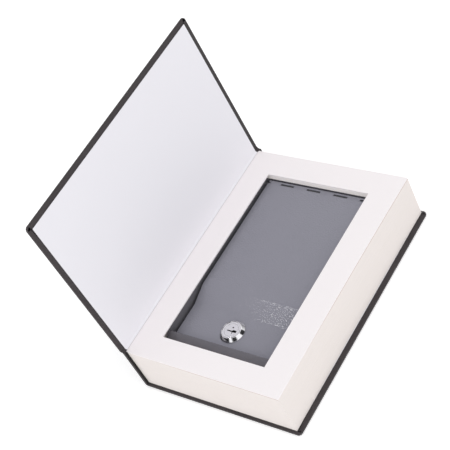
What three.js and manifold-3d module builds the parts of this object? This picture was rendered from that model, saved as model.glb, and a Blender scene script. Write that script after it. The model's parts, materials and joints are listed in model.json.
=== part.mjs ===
// A book safe: a hardback book whose pages are cut out round a folded steel box with a locking lid.
// Millimetres, +Z up. The book lies on its back cover, spine to -X, its head to +Y.
// The origin is on the underside of the back cover, below the middle of the page block.

import * as THREE from 'three';
import { mergeVertices } from 'three/addons/utils/BufferGeometryUtils.js';
import Module from 'manifold-3d';

const wasm = await Module();
wasm.setup();

// Driving dimensions: the page block
const blockWidth = 156; // spine to fore-edge
const blockLength = 234; // foot to head
const blockThickness = 47; // bottom leaves to top sheet
const bottomLeaves = 2; // leaves left whole under the cut-out
const topSheet = 1.3; // stiff sheet that hides the cut-out's edge
const foreEdgeHollow = 0.8; // how far the fore-edge dips between its ends

// Driving dimensions: the case
const boardThickness = 1.5;
const clothThickness = 0.35;
const glueLine = 0.15; // between a board, its cloth and the paper over it
const pasteDown = 0.2; // endpaper glued inside a cover
const turnIn = 15; // cloth folded in over a board's edge
const clothBorder = 4.6; // cloth left showing round the endpaper
const overhang = 2.6; // covers past the block at head and foot
const foreOverhang = 4.2; // covers past the block at the fore-edge
const boardCorner = 3; // radius of a board's outer corners
const spineLining = 0.9; // mull and glue on the block's back
const spineBoard = 2.4;
const spineSetIn = 3; // back board starts this far from the block's back
const hingeBead = 0.55; // radius of the rolled cloth at the front hinge
const hingeRise = 0.6; // hinge line above the top sheet
const hingeSetIn = 0.2; // hinge line in from the spine's outside
const coverSetBack = 1.5; // front board starts this far from the hinge line
const coverOpenAngle = 92.6; // degrees from closed, as it stands in the photograph

// Driving dimensions: the steel box
const sheet = 1.2; // steel sheet of box and lid
const boxCentre = 72.7; // from the block's back
const boxInnerWidth = 106;
const boxFootMargin = 27.4; // block's foot to the outside of the box
const boxHeadMargin = 22.8;
const rimDrop = 6.3; // rim below the top of the block
const cutOutSlack = 1.9; // cut-out past the box at the spine side
const sheetOverSpine = 3.7; // top sheet over the inside of the box at the spine side
const sheetOverHead = 1.5; // top sheet over the outside of the box at the head
const openPastFore = 3.6; // opening past the inside of the box at the fore-edge side
const openPastFoot = 4.1; // opening past the outside of the box at the foot
const underCut = 0.3; // cut-out past the opening at foot and fore-edge
const leavesOverRim = 0.3; // leaves that reach over the rim at the head, above it
const shoulderRun = 6.6; // the sloped shoulder at the front of the box
const shoulderDrop = 5.2;
const shoulderBend = 2;
const cornerSlit = 0.7; // slit between the front and each side wall

// Driving dimensions: the lid
const lidPlay = 0.15; // lid's spine side clear of the top sheet's opening as it swings up
const lidForeGap = 0.5; // lid's fore side to the box's side wall
const lidFrontGap = 1.06; // lid's front edge to the shoulder's lip
const shelfDrop = 5.5; // lock shelf below the lid's main panel
const shelfEndFromFront = 40.6; // from the outside of the box's front
const slopeEndFromFront = 58.6;
const lidBend = 10;
const flangeDepth = 6; // stiffening returns along the main panel
const flangeSetBack = 8;
const hingeDrop = 3.4; // rod's axis below the lid's top face
const hingeFromBack = 4; // rod's axis to the inside of the back wall
const lipLength = 1.2; // straight end of the lid's rolled back edge
const slotLength = 14.4;
const slotWidth = 2;
const slotPitch = 28.3;
const slotAhead = 0.4; // slots ahead of the rod's axis
const spineNotch = 2.2; // notches in the lid's sides, in line with the slots
const foreNotch = 3.9;
const rodRadius = 1.25;
const rodPlay = 0.1;
const eyeRadius = 2;
const eyeLength = 20;
const leafThickness = 1;
const leafLength = 12;
const tabRecess = 0.5; // staked tabs below the lid's top face
const tabPlay = 0.4;
const clipRadius = 3.2;
const clipThickness = 0.6;
const clipGap = 0.3;
const rodTail = 0.3; // rod past its clip

// Driving dimensions: the cam lock
const lockAside = 2; // lock's axis from the lid's middle, toward the fore-edge
const lockFromFront = 24.4; // lock's axis from the outside of the box's front
const headRadius = 11.6;
const headFaceRadius = 8.7;
const headHeight = 3.2;
const headRim = 0.5;
const barrelRadius = 9.5;
const barrelFlat = 8; // axis to each flat
const barrelLength = 10.9;
const barrelPlay = 0.15;
const plugRadius = 6.4;
const plugPlay = 0.1;
const plugRecess = 0.3;
const keyLength = 7.6;
const keyWidth = 1.5;
const keyStagger = 0.35; // offset between the keyway's two halves
const keyEndGap = 0.5; // keyway's end to the barrel's end
const waferCount = 5;
const waferThickness = 1;
const waferFirst = 1.6; // first wafer below the shelf's top face
const waferLastGap = 0.7; // last wafer to the barrel's end
const waferHalfLength = 5.7;
const waferHalfWidth = 2.7;
const waferPlay = 0.15;
const waferTravel = 0.9; // how far a wafer drops into the barrel
const washerThickness = 0.6;
const washerRadius = 12.4;
const nutAcrossFlats = 22;
const nutThickness = 3;
const camThickness = 1.5;
const camReach = 17;
const camHalfWidth = 6.5;
const camHubRadius = 8;
const camGap = 0.3; // cam under the barrel and under the strike
const driveHalf = 3.5; // square tail of the plug
const drivePlay = 0.15;
const camWasherRadius = 7;
const camWasherThickness = 0.8;
const screwAcrossFlats = 8;
const screwHeight = 3;

// Driving dimensions: the strike
const strikeHalfLength = 30;
const strikeSheet = 1.2;
const restLedge = 7.7; // ledge under the lid's shelf, from its web's front
const hookLedge = 11.9; // ledge that the cam turns under
const lidSeat = 0.3; // lid's shelf above its ledge

// Worked out: the case
const coverThickness = pasteDown + boardThickness + 2 * clothThickness + 2 * glueLine;
const spineOuter = -(spineLining + spineBoard + clothThickness + 2 * glueLine);
const hingeX = spineOuter + hingeSetIn;
const hingeZ = blockThickness + hingeRise;
const coverReach = blockWidth + foreOverhang - hingeX;

// Worked out: the box, in the block's frame
const rimZ = blockThickness - rimDrop;
const boxInnerLeft = boxCentre - boxInnerWidth / 2;
const boxInnerRight = boxCentre + boxInnerWidth / 2;
const boxLeft = boxInnerLeft - sheet;
const boxRight = boxInnerRight + sheet;
const boxFront = boxFootMargin;
const boxBack = blockLength - boxHeadMargin;
const openLeft = boxInnerLeft + sheetOverSpine;
const openRight = boxInnerRight + openPastFore;
const openFront = boxFront - openPastFoot;
const openBack = boxBack - sheetOverHead;
const cutLeft = boxLeft - cutOutSlack;
const cutRight = openRight + underCut;
const cutFront = openFront - underCut;
const cutBack = boxBack + glueLine;

// Worked out: the lid and its hinge
const rodY = boxBack - sheet - hingeFromBack;
const rodZ = rimZ - hingeDrop;
const lidLeft = openLeft + lidPlay;
const lidRight = boxInnerRight - lidForeGap;
const shoulderSlope = Math.atan2(shoulderDrop, shoulderRun);
const lipInnerY = boxFront + shoulderRun + sheet * Math.sin(shoulderSlope);
const lidFront = lipInnerY + lidFrontGap;
const shelfEnd = boxFront + shelfEndFromFront;
const slopeEnd = boxFront + slopeEndFromFront;
const shelfZ = rimZ - shelfDrop;
const shelfUnder = shelfZ - sheet;
const slotY = rodY - slotAhead;
const slotXs = [-slotPitch, 0, slotPitch].map((offset) => boxCentre + offset);

// Worked out: the lock, from its axis and the shelf's top face
const lockX = boxCentre + lockAside;
const lockY = boxFront + lockFromFront;
const plugBottom = -barrelLength - camGap;
const camBottom = plugBottom - camThickness;
const hookUnder = shelfZ + plugBottom + camGap;
const waferPitch = (barrelLength - waferLastGap - waferFirst - waferThickness) / (waferCount - 1);

// Materials, in the colours of the photograph
function finish(color, roughness, metalness = 0) {
  return new THREE.MeshStandardMaterial({ color, roughness, metalness });
}
const paper = finish(0xf4f0ec, 0.9);
const endpaper = finish(0xe9e8ee, 0.85);
const cloth = finish(0x50494b, 0.85);
const greyboard = finish(0x8a857c, 0.95);
const mull = finish(0xd8d2c4, 0.95);
const powderCoat = finish(0x86868f, 0.55, 0.1);
const zincPlate = finish(0xb9bbbe, 0.35, 1);
const blackSteel = finish(0x333335, 0.5, 0.4);
const chrome = finish(0xe2e2e6, 0.12, 1);
const brass = finish(0xb9a25c, 0.3, 1);

// A closed geometry as a solid that can be joined and cut
function solid(geometry) {
  geometry.deleteAttribute('normal');
  geometry.deleteAttribute('uv');
  const merged = mergeVertices(geometry, 1e-4);
  const corners = [...merged.index.array];
  const triVerts = [];
  for (let i = 0; i < corners.length; i += 3) {
    const [a, b, c] = corners.slice(i, i + 3);
    if (a !== b && b !== c && c !== a) triVerts.push(a, b, c);
  }
  return new wasm.Manifold(new wasm.Mesh({
    numProp: 3,
    vertProperties: new Float32Array(merged.attributes.position.array),
    triVerts: new Uint32Array(triVerts),
  }));
}

function named(name, shape, material) {
  const { vertProperties, triVerts } = shape.getMesh();
  const geometry = new THREE.BufferGeometry();
  geometry.setAttribute('position', new THREE.BufferAttribute(new Float32Array(vertProperties), 3));
  geometry.setIndex(new THREE.BufferAttribute(new Uint32Array(triVerts), 1));
  geometry.computeVertexNormals();
  const mesh = new THREE.Mesh(geometry, material);
  mesh.name = name;
  return mesh;
}

function slab([x0, x1], [y0, y1], [z0, z1]) {
  const geometry = new THREE.BoxGeometry(x1 - x0, y1 - y0, z1 - z0);
  return solid(geometry.translate((x0 + x1) / 2, (y0 + y1) / 2, (z0 + z1) / 2));
}

// An outline in X and Y, raised from z0 to z1
function raised(outline, z0, z1, curveSegments = 12) {
  const options = { depth: z1 - z0, bevelEnabled: false, curveSegments };
  return solid(new THREE.ExtrudeGeometry(outline, options).translate(0, 0, z0));
}

// A section in Y and Z, drawn out along X from x0 to x1
function drawnOut(section, x0, x1) {
  const geometry = new THREE.ExtrudeGeometry(section, { depth: x1 - x0, bevelEnabled: false });
  const turn = new THREE.Matrix4().makeBasis(
    new THREE.Vector3(0, 1, 0), new THREE.Vector3(0, 0, 1), new THREE.Vector3(1, 0, 0));
  return solid(geometry.applyMatrix4(turn).translate(x0, 0, 0));
}

function pinX(radius, x0, x1, y, z, segments = 32) {
  const geometry = new THREE.CylinderGeometry(radius, radius, x1 - x0, segments);
  return solid(geometry.rotateZ(Math.PI / 2).translate((x0 + x1) / 2, y, z));
}

function pinY(radius, y0, y1, x, z, segments = 16) {
  const geometry = new THREE.CylinderGeometry(radius, radius, y1 - y0, segments);
  return solid(geometry.translate(x, (y0 + y1) / 2, z));
}

function pinZ(radius, z0, z1, segments = 48) {
  const geometry = new THREE.CylinderGeometry(radius, radius, z1 - z0, segments);
  return solid(geometry.rotateX(Math.PI / 2).translate(0, 0, (z0 + z1) / 2));
}

// A profile of [radius, z] points, turned about Z. It runs from the axis back to the axis.
function turned(profile, segments = 48) {
  const points = profile.map(([r, z]) => new THREE.Vector2(r, z));
  return solid(new THREE.LatheGeometry(points, segments).rotateX(Math.PI / 2));
}

function outlineOf(points) {
  return new THREE.Shape(points.map(([x, y]) => new THREE.Vector2(x, y)));
}

function hexagon(acrossFlats) {
  const corner = acrossFlats / Math.sqrt(3);
  return outlineOf([...Array(6).keys()].map((i) => {
    const angle = (i * Math.PI) / 3;
    return [corner * Math.cos(angle), corner * Math.sin(angle)];
  }));
}

// The section of a bent sheet. Its face follows the corners, with an arc of the given radius at
// each one between the ends, and the sheet lies to the right of the way along them.
function bentSheet(corners, radii, thickness, arcSteps = 8) {
  const face = [];
  const back = [];
  const place = (point, direction) => {
    face.push(point);
    back.push([point[0] + direction[1] * thickness, point[1] - direction[0] * thickness]);
  };
  const wayTo = (i) => {
    const dy = corners[i + 1][0] - corners[i][0];
    const dz = corners[i + 1][1] - corners[i][1];
    const length = Math.hypot(dy, dz);
    return [dy / length, dz / length];
  };
  place(corners[0], wayTo(0));
  for (let i = 1; i < corners.length - 1; i += 1) {
    const before = wayTo(i - 1);
    const after = wayTo(i);
    const start = Math.atan2(before[1], before[0]);
    const turn = Math.atan2(before[0] * after[1] - before[1] * after[0],
      before[0] * after[0] + before[1] * after[1]);
    const side = Math.sign(turn);
    const cut = radii[i - 1] * Math.tan(Math.abs(turn) / 2);
    const from = [corners[i][0] - before[0] * cut, corners[i][1] - before[1] * cut];
    const centre = [from[0] - side * before[1] * radii[i - 1], from[1] + side * before[0] * radii[i - 1]];
    for (let step = 0; step <= arcSteps; step += 1) {
      const heading = start + (turn * step) / arcSteps;
      const direction = [Math.cos(heading), Math.sin(heading)];
      place([centre[0] + side * direction[1] * radii[i - 1],
        centre[1] - side * direction[0] * radii[i - 1]], direction);
    }
  }
  place(corners[corners.length - 1], wayTo(corners.length - 2));
  return outlineOf([...face, ...back.reverse()]);
}

// A cover's outline: square at the spine, rounded at its two outer corners
function boardOutline(x0, x1, y0, y1, corner) {
  const outline = new THREE.Shape();
  outline.moveTo(x0, y0);
  outline.lineTo(x1 - corner, y0);
  outline.absarc(x1 - corner, y0 + corner, corner, -Math.PI / 2, 0, false);
  outline.lineTo(x1, y1 - corner);
  outline.absarc(x1 - corner, y1 - corner, corner, 0, Math.PI / 2, false);
  outline.lineTo(x0, y1);
  return outline;
}

// A covered board, drawn lying open side down: endpaper below, then the turned-in cloth, the board
// and the outer cloth. The board's spine edge is at x0 and its fore-edge cloth ends at x1.
function coveredBoard(x0, x1, paperStart) {
  const y0 = -overhang;
  const y1 = blockLength + overhang;
  const boardLow = pasteDown + clothThickness + 2 * glueLine;
  const boardHigh = boardLow + boardThickness;
  const boardEdge = clothThickness + glueLine;
  const board = raised(
    boardOutline(x0, x1 - boardEdge, y0 + boardEdge, y1 - boardEdge, boardCorner), boardLow, boardHigh);
  const wrap = raised(
    boardOutline(x0, x1, y0, y1, boardCorner + boardEdge), pasteDown + glueLine, coverThickness);
  const hollow = raised(
    boardOutline(x0 - 1, x1 - clothThickness, y0 + clothThickness, y1 - clothThickness,
      boardCorner + glueLine), boardLow - glueLine, boardHigh + glueLine);
  const window = slab([x0 - 1, x1 - turnIn], [y0 + turnIn, y1 - turnIn], [0, boardLow]);
  const lining = slab([paperStart, x1 - clothBorder], [y0 + clothBorder, y1 - clothBorder], [0, pasteDown]);
  return { board, wrapping: wrap.subtract(hollow).subtract(window), lining };
}

// Everything is placed in the block's frame: x from its back, y from its foot, z from its underside
const book = new THREE.Group();
book.position.set(-blockWidth / 2, -blockLength / 2, coverThickness);

// Back cover: the covered board that the block is glued to, turned over so that its cloth is below
const backCover = new THREE.Group();
const back = coveredBoard(spineSetIn, blockWidth + foreOverhang, spineSetIn);
const turnOver = (shape) => shape.mirror([0, 0, 1]);
backCover.add(
  named('back_cover_cloth', turnOver(back.wrapping), cloth),
  named('back_cover_board', turnOver(back.board), greyboard),
  named('back_endpaper', turnOver(back.lining), endpaper),
);

// Spine: lining, board and cloth, standing on the back cover's hinge edge
const spineFoot = -coverThickness;
const spineEnds = [-overhang, blockLength + overhang];
const liningBack = -spineLining;
const spineBoardBack = liningBack - glueLine - spineBoard;
const spineClothOutline = bentSheet(
  [[spineSetIn - glueLine, spineFoot], [spineOuter, spineFoot], [spineOuter, blockThickness]],
  [clothThickness * 2], clothThickness);
const spine = new THREE.Group();
const drawnAlong = (section, [y0, y1]) => {
  const geometry = new THREE.ExtrudeGeometry(section, { depth: y1 - y0, bevelEnabled: false });
  return solid(geometry.rotateX(Math.PI / 2).translate(0, y1, 0));
};
spine.add(
  named('spine_lining', slab([liningBack, 0], [0, blockLength], [0, blockThickness - topSheet]), mull),
  named('spine_board', slab([spineBoardBack, liningBack - glueLine],
    [spineEnds[0] + clothThickness, spineEnds[1] - clothThickness],
    [spineFoot + clothThickness + glueLine, blockThickness - glueLine]), greyboard),
  named('spine_cloth', drawnAlong(spineClothOutline, spineEnds), cloth),
);

// Page block: whole leaves below, the cut-out leaves round the box, and the stiff top sheet
function leafOutline() {
  const outline = new THREE.Shape();
  const sag = foreEdgeHollow;
  const radius = (blockLength * blockLength) / (8 * sag) + sag / 2;
  const half = Math.asin(blockLength / (2 * radius));
  outline.moveTo(0, 0);
  outline.lineTo(blockWidth, 0);
  outline.absarc(blockWidth + radius - sag, blockLength / 2, radius, Math.PI + half, Math.PI - half, true);
  outline.lineTo(0, blockLength);
  return outline;
}
const cutOut = slab([cutLeft, cutRight], [cutFront, cutBack], [0, rimZ + leavesOverRim])
  .add(slab([cutLeft, cutRight], [cutFront, openBack], [0, blockThickness]));
const opening = slab([openLeft, openRight], [openFront, openBack], [0, blockThickness + 1]);
const leavesTop = blockThickness - topSheet;
const pages = new THREE.Group();
pages.add(
  named('bottom_leaves', raised(leafOutline(), 0, bottomLeaves), paper),
  named('page_block', raised(leafOutline(), bottomLeaves, leavesTop).subtract(cutOut), paper),
  named('top_sheet', raised(leafOutline(), leavesTop, blockThickness).subtract(opening), paper),
);

// Front hinge: a rolled bead of book cloth along the spine's top edge, and the endpaper's fold
const hinge = new THREE.Group();
const foldStart = hingeX + hingeBead + glueLine;
hinge.add(
  named('hinge_cloth', pinY(hingeBead, -overhang, blockLength + overhang, hingeX, hingeZ), cloth),
  named('hinge_endpaper', slab([foldStart, -glueLine], [0, blockLength],
    [blockThickness - glueLine, blockThickness + pasteDown]), endpaper),
);

// Front cover: hinged on the bead. In its own frame it lies closed, with the hinge at the origin.
const frontCover = new THREE.Group();
frontCover.position.set(hingeX, 0, hingeZ);
frontCover.rotation.y = THREE.MathUtils.degToRad(-coverOpenAngle);
const front = coveredBoard(coverSetBack, coverReach, hingeBead + 2 * glueLine);
frontCover.add(
  named('front_cover_cloth', front.wrapping, cloth),
  named('front_cover_board', front.board, greyboard),
  named('front_endpaper', front.lining, endpaper),
);

// Steel box: floor, side walls and back wall, with the front bent back to a sloped shoulder.
// A slit parts the front from each side wall, as on a box folded from one sheet.
const box = new THREE.Group();
const boxFloor = bottomLeaves;
const shoulderFoot = rimZ - shoulderDrop;
const sideOutline = outlineOf([
  [boxFront, boxFloor], [boxBack, boxFloor], [boxBack, rimZ],
  [boxFront + shoulderRun, rimZ], [boxFront, shoulderFoot]]);
const frontOutline = bentSheet(
  [[boxFront, boxFloor], [boxFront, shoulderFoot], [boxFront + shoulderRun, rimZ]], [shoulderBend], sheet);
const rodHole = pinX(rodRadius + rodPlay, boxLeft - 1, boxRight + 1, rodY, rodZ);
const tray = slab([boxLeft, boxRight], [boxFront, boxBack], [boxFloor, boxFloor + sheet])
  .add(drawnOut(sideOutline, boxLeft, boxLeft + sheet))
  .add(drawnOut(sideOutline, boxRight - sheet, boxRight))
  .add(slab([boxLeft, boxRight], [boxBack - sheet, boxBack], [boxFloor, rimZ]))
  .add(drawnOut(frontOutline, boxLeft + sheet + cornerSlit, boxRight - sheet - cornerSlit))
  .subtract(rodHole);

// Strike: a channel welded inside the front wall. The lid's shelf rests over its upper ledge, and
// the cam turns under its lower one.
const webFront = boxFront + sheet;
const ledgeTop = shelfUnder - lidSeat;
const strikeOutline = outlineOf([
  [webFront, hookUnder], [webFront + hookLedge, hookUnder], [webFront + hookLedge, hookUnder + strikeSheet],
  [webFront + strikeSheet, hookUnder + strikeSheet], [webFront + strikeSheet, ledgeTop - strikeSheet],
  [webFront + restLedge, ledgeTop - strikeSheet], [webFront + restLedge, ledgeTop], [webFront, ledgeTop]]);
box.add(
  named('tray', tray, powderCoat),
  named('lock_strike', drawnOut(strikeOutline, boxCentre - strikeHalfLength, boxCentre + strikeHalfLength),
    zincPlate),
);

// Hinge rod through both side walls, with a push-on clip at each end
function rodClip(name, inner, outer) {
  const ring = pinX(clipRadius, inner, outer, rodY, rodZ)
    .subtract(pinX(rodRadius + rodPlay, inner - 1, outer + 1, rodY, rodZ));
  return named(name, ring, zincPlate);
}
const clipLeft = boxLeft - clipGap;
const clipRight = boxRight + clipGap;
const rodEnds = [clipLeft - clipThickness - rodTail, clipRight + clipThickness + rodTail];
box.add(
  named('hinge_rod', pinX(rodRadius, rodEnds[0], rodEnds[1], rodY, rodZ), zincPlate),
  rodClip('rod_clip_left', clipLeft - clipThickness, clipLeft),
  rodClip('rod_clip_right', clipRight, clipRight + clipThickness),
);

// Lid: one sheet, stepped down to the lock shelf and rolled over the hinge rod at the back
const lidOutline = bentSheet(
  [[lidFront, shelfZ], [shelfEnd, shelfZ], [slopeEnd, rimZ], [rodY + hingeDrop, rimZ],
    [rodY + hingeDrop, rodZ - lipLength]], [lidBend, lidBend, hingeDrop], sheet);
const flangeSpan = [slopeEnd + flangeSetBack, rodY - leafLength - flangeSetBack];
const flange = (x0) => slab([x0, x0 + sheet], flangeSpan, [rimZ - flangeDepth, rimZ - sheet / 2]);
const slots = slotXs.map((x) => slab([x - slotLength / 2, x + slotLength / 2],
  [slotY - slotWidth / 2, slotY + slotWidth / 2], [rodZ, rimZ + 1]));
const notches = [[lidLeft - 1, lidLeft + spineNotch], [lidRight - foreNotch, lidRight + 1]].map(
  (span) => slab(span, [slotY - slotWidth / 2, slotY + slotWidth / 2], [rodZ, rimZ + 1]));
const doubleD = (radius, flat, z0, z1) => pinZ(radius, z0, z1)
  .intersect(slab([-radius, radius], [-flat, flat], [z0, z1]));
const lockHole = doubleD(barrelRadius + barrelPlay, barrelFlat + barrelPlay, -2 * sheet, 1)
  .translate([lockX, lockY, shelfZ]);
const lid = [...slots, ...notches, lockHole].reduce((shape, cut) => shape.subtract(cut),
  drawnOut(lidOutline, lidLeft, lidRight).add(flange(lidLeft)).add(flange(lidRight - sheet)));

// Hinge leaf: a strip under the lid with three eyes on the rod and three tabs staked in the slots
const leafTop = rimZ - sheet;
const eyes = slotXs.map((x) => pinX(eyeRadius, x - eyeLength / 2, x + eyeLength / 2, rodY, rodZ));
const tabs = slotXs.map((x) => slab(
  [x - slotLength / 2 + tabPlay, x + slotLength / 2 - tabPlay],
  [slotY - slotWidth / 2 + tabPlay, slotY + slotWidth / 2 - tabPlay],
  [leafTop - leafThickness, rimZ - tabRecess]));
const leafStrip = slab([slotXs[0] - eyeLength / 2, slotXs[2] + eyeLength / 2],
  [rodY - leafLength, slotY - slotWidth / 2], [leafTop - leafThickness, leafTop]);
const leafNecks = slotXs.map((x) => slab([x - eyeLength / 2, x + eyeLength / 2],
  [slotY - slotWidth, rodY], [leafTop - leafThickness, rodZ + eyeRadius]));
const leaf = [...eyes, ...leafNecks, ...tabs].reduce((shape, piece) => shape.add(piece), leafStrip)
  .subtract(pinX(rodRadius + rodPlay, lidLeft, lidRight, rodY, rodZ));
const lidGroup = new THREE.Group();
lidGroup.add(
  named('lid', lid, powderCoat),
  named('hinge_leaf', leaf, blackSteel),
);

// Cam lock, in its own frame: z from the shelf's top face, the key's way in from above
const lock = new THREE.Group();
lock.position.set(lockX, lockY, shelfZ);
const bore = plugRadius + plugPlay;
const head = turned([
  [0, 0], [headRadius, 0], [headRadius, headRim], [headRadius - headRim, 2 * headRim],
  [headFaceRadius + headRim, headHeight - headRim / 2], [headFaceRadius, headHeight],
  [bore + plugRecess, headHeight], [bore, headHeight - plugRecess], [0, headHeight - plugRecess]]);
const waferGroove = slab([-plugRadius - waferTravel - waferPlay, 0],
  [-waferHalfWidth - 2 * waferPlay, waferHalfWidth + 2 * waferPlay], [-barrelLength - 1, -sheet / 2]);
const barrel = doubleD(barrelRadius, barrelFlat, -barrelLength, headRim).add(head)
  .subtract(pinZ(bore, -barrelLength - 1, headHeight + 1))
  .subtract(waferGroove);
const nutTop = -sheet - washerThickness;
const washer = pinZ(washerRadius, nutTop, -sheet)
  .subtract(pinZ(barrelRadius + barrelPlay, nutTop - 1, 0));
const nut = raised(hexagon(nutAcrossFlats), nutTop - nutThickness, nutTop)
  .subtract(pinZ(barrelRadius + barrelPlay, nutTop - nutThickness - 1, nutTop + 1));

// Plug: a turned cylinder with a staggered keyway, a slot for each wafer and a square tail
const plugTop = headHeight - plugRecess;
const keyHalf = [-1, 1].map((side) => {
  const ends = [-side * keyWidth / 4, (side * keyLength) / 2].sort((a, b) => a - b);
  const middle = -side * keyStagger;
  return slab(ends, [middle - keyWidth / 2, middle + keyWidth / 2],
    [keyEndGap - barrelLength, plugTop + 1]);
});
const waferZs = [...Array(waferCount).keys()].map((i) => -waferFirst - i * waferPitch);
const waferSlots = waferZs.map((z) => slab([-plugRadius - 1, plugRadius + 1],
  [-waferHalfWidth - waferPlay, waferHalfWidth + waferPlay],
  [z - waferThickness - waferPlay, z + waferPlay]));
const tail = slab([-driveHalf, driveHalf], [-driveHalf, driveHalf], [camBottom + camGap, plugBottom + 1]);
const plug = [...keyHalf, ...waferSlots].reduce((shape, cut) => shape.subtract(cut),
  pinZ(plugRadius, plugBottom, plugTop).add(tail));

// Wafers, as the key lifts them: level with the plug's surface
const waferShape = (z) => slab([-waferHalfLength, waferHalfLength], [-waferHalfWidth, waferHalfWidth],
  [z - waferThickness, z])
  .subtract(slab([-keyLength / 2 - waferPlay, keyLength / 2 + waferPlay],
    [-keyWidth / 2 - keyStagger, keyWidth / 2 + keyStagger], [z - waferThickness - 1, z + 1]));

// Cam: a flat arm on the plug's square tail, turned aside while the safe is unlocked
const camOutline = new THREE.Shape();
camOutline.moveTo(0, -camHalfWidth);
camOutline.absarc(0, 0, camHubRadius, -Math.asin(camHalfWidth / camHubRadius),
  Math.asin(camHalfWidth / camHubRadius), false);
camOutline.lineTo(-camReach + camHalfWidth / 2, camHalfWidth);
camOutline.lineTo(-camReach, camHalfWidth / 2);
camOutline.lineTo(-camReach, -camHalfWidth / 2);
camOutline.lineTo(-camReach + camHalfWidth / 2, -camHalfWidth);
const driveHole = driveHalf + drivePlay;
const cam = raised(camOutline, camBottom, plugBottom)
  .subtract(slab([-driveHole, driveHole], [-driveHole, driveHole], [camBottom - 1, plugBottom + 1]));
const screwTop = camBottom - camWasherThickness;
lock.add(
  named('lock_barrel', barrel, chrome),
  named('lock_washer', washer, zincPlate),
  named('lock_nut', nut, zincPlate),
  named('lock_plug', plug, chrome),
  named('lock_cam', cam, zincPlate),
  named('cam_washer', pinZ(camWasherRadius, screwTop, camBottom), zincPlate),
  named('cam_screw', raised(hexagon(screwAcrossFlats), screwTop - screwHeight, screwTop), zincPlate),
  ...waferZs.map((z, i) => named(`wafer_${i + 1}`, waferShape(z), brass)),
);

book.add(backCover, spine, pages, hinge, frontCover, box, lidGroup, lock);
const safe = new THREE.Group();
safe.add(book);

export default safe;
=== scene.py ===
# A book safe: a hardback book with a locking steel box let into its cut-out pages.
# Lengths are in metres. The book lies on its back cover, spine to -X and head to +Y, and its front
# cover stands open.
import json
import math
import random

import bmesh
import bpy
from mathutils import Matrix, Vector


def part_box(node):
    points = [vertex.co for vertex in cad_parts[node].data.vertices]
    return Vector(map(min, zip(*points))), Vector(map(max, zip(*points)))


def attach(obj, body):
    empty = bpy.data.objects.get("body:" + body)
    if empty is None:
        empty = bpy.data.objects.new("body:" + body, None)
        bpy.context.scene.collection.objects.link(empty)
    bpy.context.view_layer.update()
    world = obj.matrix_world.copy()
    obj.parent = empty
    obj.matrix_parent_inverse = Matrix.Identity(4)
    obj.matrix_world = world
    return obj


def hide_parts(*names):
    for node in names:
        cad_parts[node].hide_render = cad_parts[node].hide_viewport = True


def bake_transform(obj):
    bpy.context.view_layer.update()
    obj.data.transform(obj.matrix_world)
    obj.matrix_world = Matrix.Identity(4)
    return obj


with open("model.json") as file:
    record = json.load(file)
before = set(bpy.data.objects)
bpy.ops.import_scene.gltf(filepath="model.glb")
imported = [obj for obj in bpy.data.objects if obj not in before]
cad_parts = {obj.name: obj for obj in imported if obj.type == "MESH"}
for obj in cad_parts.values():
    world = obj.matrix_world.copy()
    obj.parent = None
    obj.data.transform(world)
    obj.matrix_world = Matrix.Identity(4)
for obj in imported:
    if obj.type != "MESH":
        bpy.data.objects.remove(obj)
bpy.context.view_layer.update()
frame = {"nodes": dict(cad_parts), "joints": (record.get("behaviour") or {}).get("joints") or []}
mm = 0.001

# Camera: over the fore-edge and the foot of the book, as the photograph was taken, and tilted.
# Its place, aim and tilt come from the book's straight edges.
camera_place = Vector((0.6121, -0.4759, 0.8438))
camera_aim = Vector((-0.0814, 0.0417, 0.03))
camera_tilt = math.radians(-29.77)
sensor_width = 36
lens_length = 104.09
bpy.ops.object.camera_add(location=camera_place)
camera = bpy.context.object
looking = (camera_aim - camera_place).to_track_quat("-Z", "Y").to_matrix()
camera.rotation_euler = (looking @ Matrix.Rotation(camera_tilt, 3, "Z")).to_euler()
camera.data.sensor_width = sensor_width
camera.data.lens = lens_length
bpy.context.scene.camera = camera
bpy.context.scene.view_settings.view_transform = "Standard"


# Studio: a white table in an even white tent, with a large softbox from the front and a small one
# over the spine side that only shows as a glint. The table and the tent are white to the camera,
# and the tent's dark openings show only in what is polished or coated.
class Wire:
    """A shader socket. Sums and products of wires and numbers add the Math nodes that they need."""

    def __init__(self, finish, socket):
        self.finish = finish
        self.socket = socket

    def __add__(self, other):
        return self.finish.math("ADD", self, other)

    def __sub__(self, other):
        return self.finish.math("SUBTRACT", self, other)

    def __rsub__(self, other):
        return self.finish.math("SUBTRACT", other, self)

    def __mul__(self, other):
        return self.finish.math("MULTIPLY", self, other)

    __radd__ = __add__
    __rmul__ = __mul__


class Finish:
    """The node tree of a material or of the sky, built one node at a time."""

    def __init__(self, owner):
        owner.use_nodes = True
        self.owner = owner
        self.tree = owner.node_tree

    def node(self, kind, inputs, output=0, **settings):
        """Adds a node. Its settings come first, then the values or wires of its sockets."""
        node = self.tree.nodes.new("ShaderNode" + kind)
        for name, value in settings.items():
            setattr(node, name, value)
        for socket, value in inputs.items():
            self.feed(node.inputs[socket], value)
        return Wire(self, node.outputs[output])

    def feed(self, socket, value):
        if isinstance(value, Wire):
            self.tree.links.new(value.socket, socket)
        else:
            socket.default_value = value

    def math(self, operation, *values):
        return self.node("Math", dict(enumerate(values)), operation=operation)

    def mix(self, share, first, second):
        """Goes from the first colour to the second as the share goes from 0 to 1."""
        inputs = {"Factor": share, 6: first, 7: second}
        return self.node("Mix", inputs, 2, data_type="RGBA")


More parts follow.
